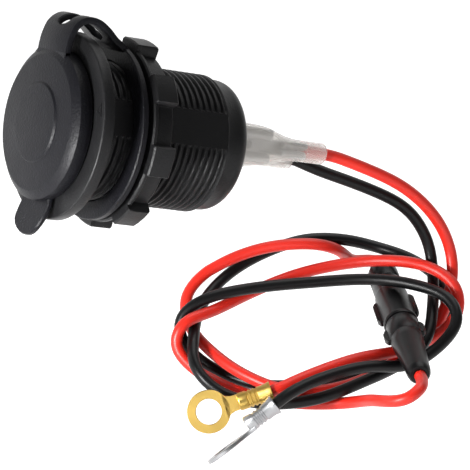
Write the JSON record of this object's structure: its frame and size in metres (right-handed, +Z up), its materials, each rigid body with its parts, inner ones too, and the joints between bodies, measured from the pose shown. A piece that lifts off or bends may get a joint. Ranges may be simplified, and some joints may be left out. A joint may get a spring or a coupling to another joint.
{
  "type": "12v panel power socket",
  "caption": "Panel-mounted 12 volt power socket with a tethered snap cap, a lugged lock nut, sleeved blade terminals and a fused pair of leads ending in ring terminals.",
  "frame": {"origin": "on the socket's axis at the back face of the flange, where the panel bears", "axes": "+Y along the socket's axis towards the wires, -Y out of the receptacle, +Z up to the cap's strap, +X to the right seen from behind the cap looking along +Y"},
  "size_m": [0.0619, 0.1033, 0.0887],
  "materials": {
    "black_nylon": "moulded matt with a faint sheen",
    "cap_rubber": "matt soft moulding",
    "nickel_steel": "plated satin",
    "tinned_steel": "tin plated",
    "tinned_brass": "tin plated",
    "brass": "bright pressed brass",
    "insulation_board": "pressed board",
    "clear_vinyl": "soft clear vinyl",
    "red_insulation": "satin vinyl",
    "black_insulation": "satin vinyl",
    "holder_plastic": "satin moulded",
    "fuse_glass": "clear"
  },
  "bodies": {
    "socket": {"socket_body": "black_nylon", "contact_sleeve": "nickel_steel", "insulating_disc": "insulation_board", "centre_contact": "brass", "centre_rivet": "tinned_steel", "negative_rivet": "tinned_steel", "positive_blade": "tinned_steel", "negative_blade": "tinned_steel", "cap_strap": "cap_rubber", "cap_ring": "cap_rubber", "red_spade_terminal": "tinned_brass", "black_spade_terminal": "tinned_brass", "red_sleeve": "clear_vinyl", "black_sleeve": "clear_vinyl", "red_lead_upper": "red_insulation", "red_lead_lower": "red_insulation", "black_lead": "black_insulation", "fuse_holder_body": "holder_plastic", "fuse_glass": "fuse_glass", "fuse_end_caps": "tinned_brass", "fuse_upper_contact": "brass", "fuse_lower_contact": "brass", "fuse_spring": "nickel_steel", "brass_ring_terminal": "brass", "tin_ring_terminal": "tinned_brass"},
    "nut": {"lock_nut": "black_nylon"},
    "cap": {"cap": "cap_rubber"},
    "fuse_cap": {"fuse_holder_cap": "holder_plastic"}
  },
  "joints": [
    {"name": "cap_open", "type": "hinge", "parent": "socket", "child": "cap", "pos_m": [0, 0.001, 0.0176], "axis": [-1, 0, 0], "range_deg": [0, 110], "deforming": ["cap_strap"]},
    {"name": "nut_travel", "type": "slide", "parent": "socket", "child": "nut", "axis": [0, 1, 0], "range_m": [-0.0007, 0.015]},
    {"name": "fuse_cap_twist", "type": "hinge", "parent": "socket", "child": "fuse_cap", "pos_m": [-0.0125, 0.0905, -0.0225], "axis": [-0.8803, 0.3501, 0.3201], "range_deg": [0, 45]}
  ]
}
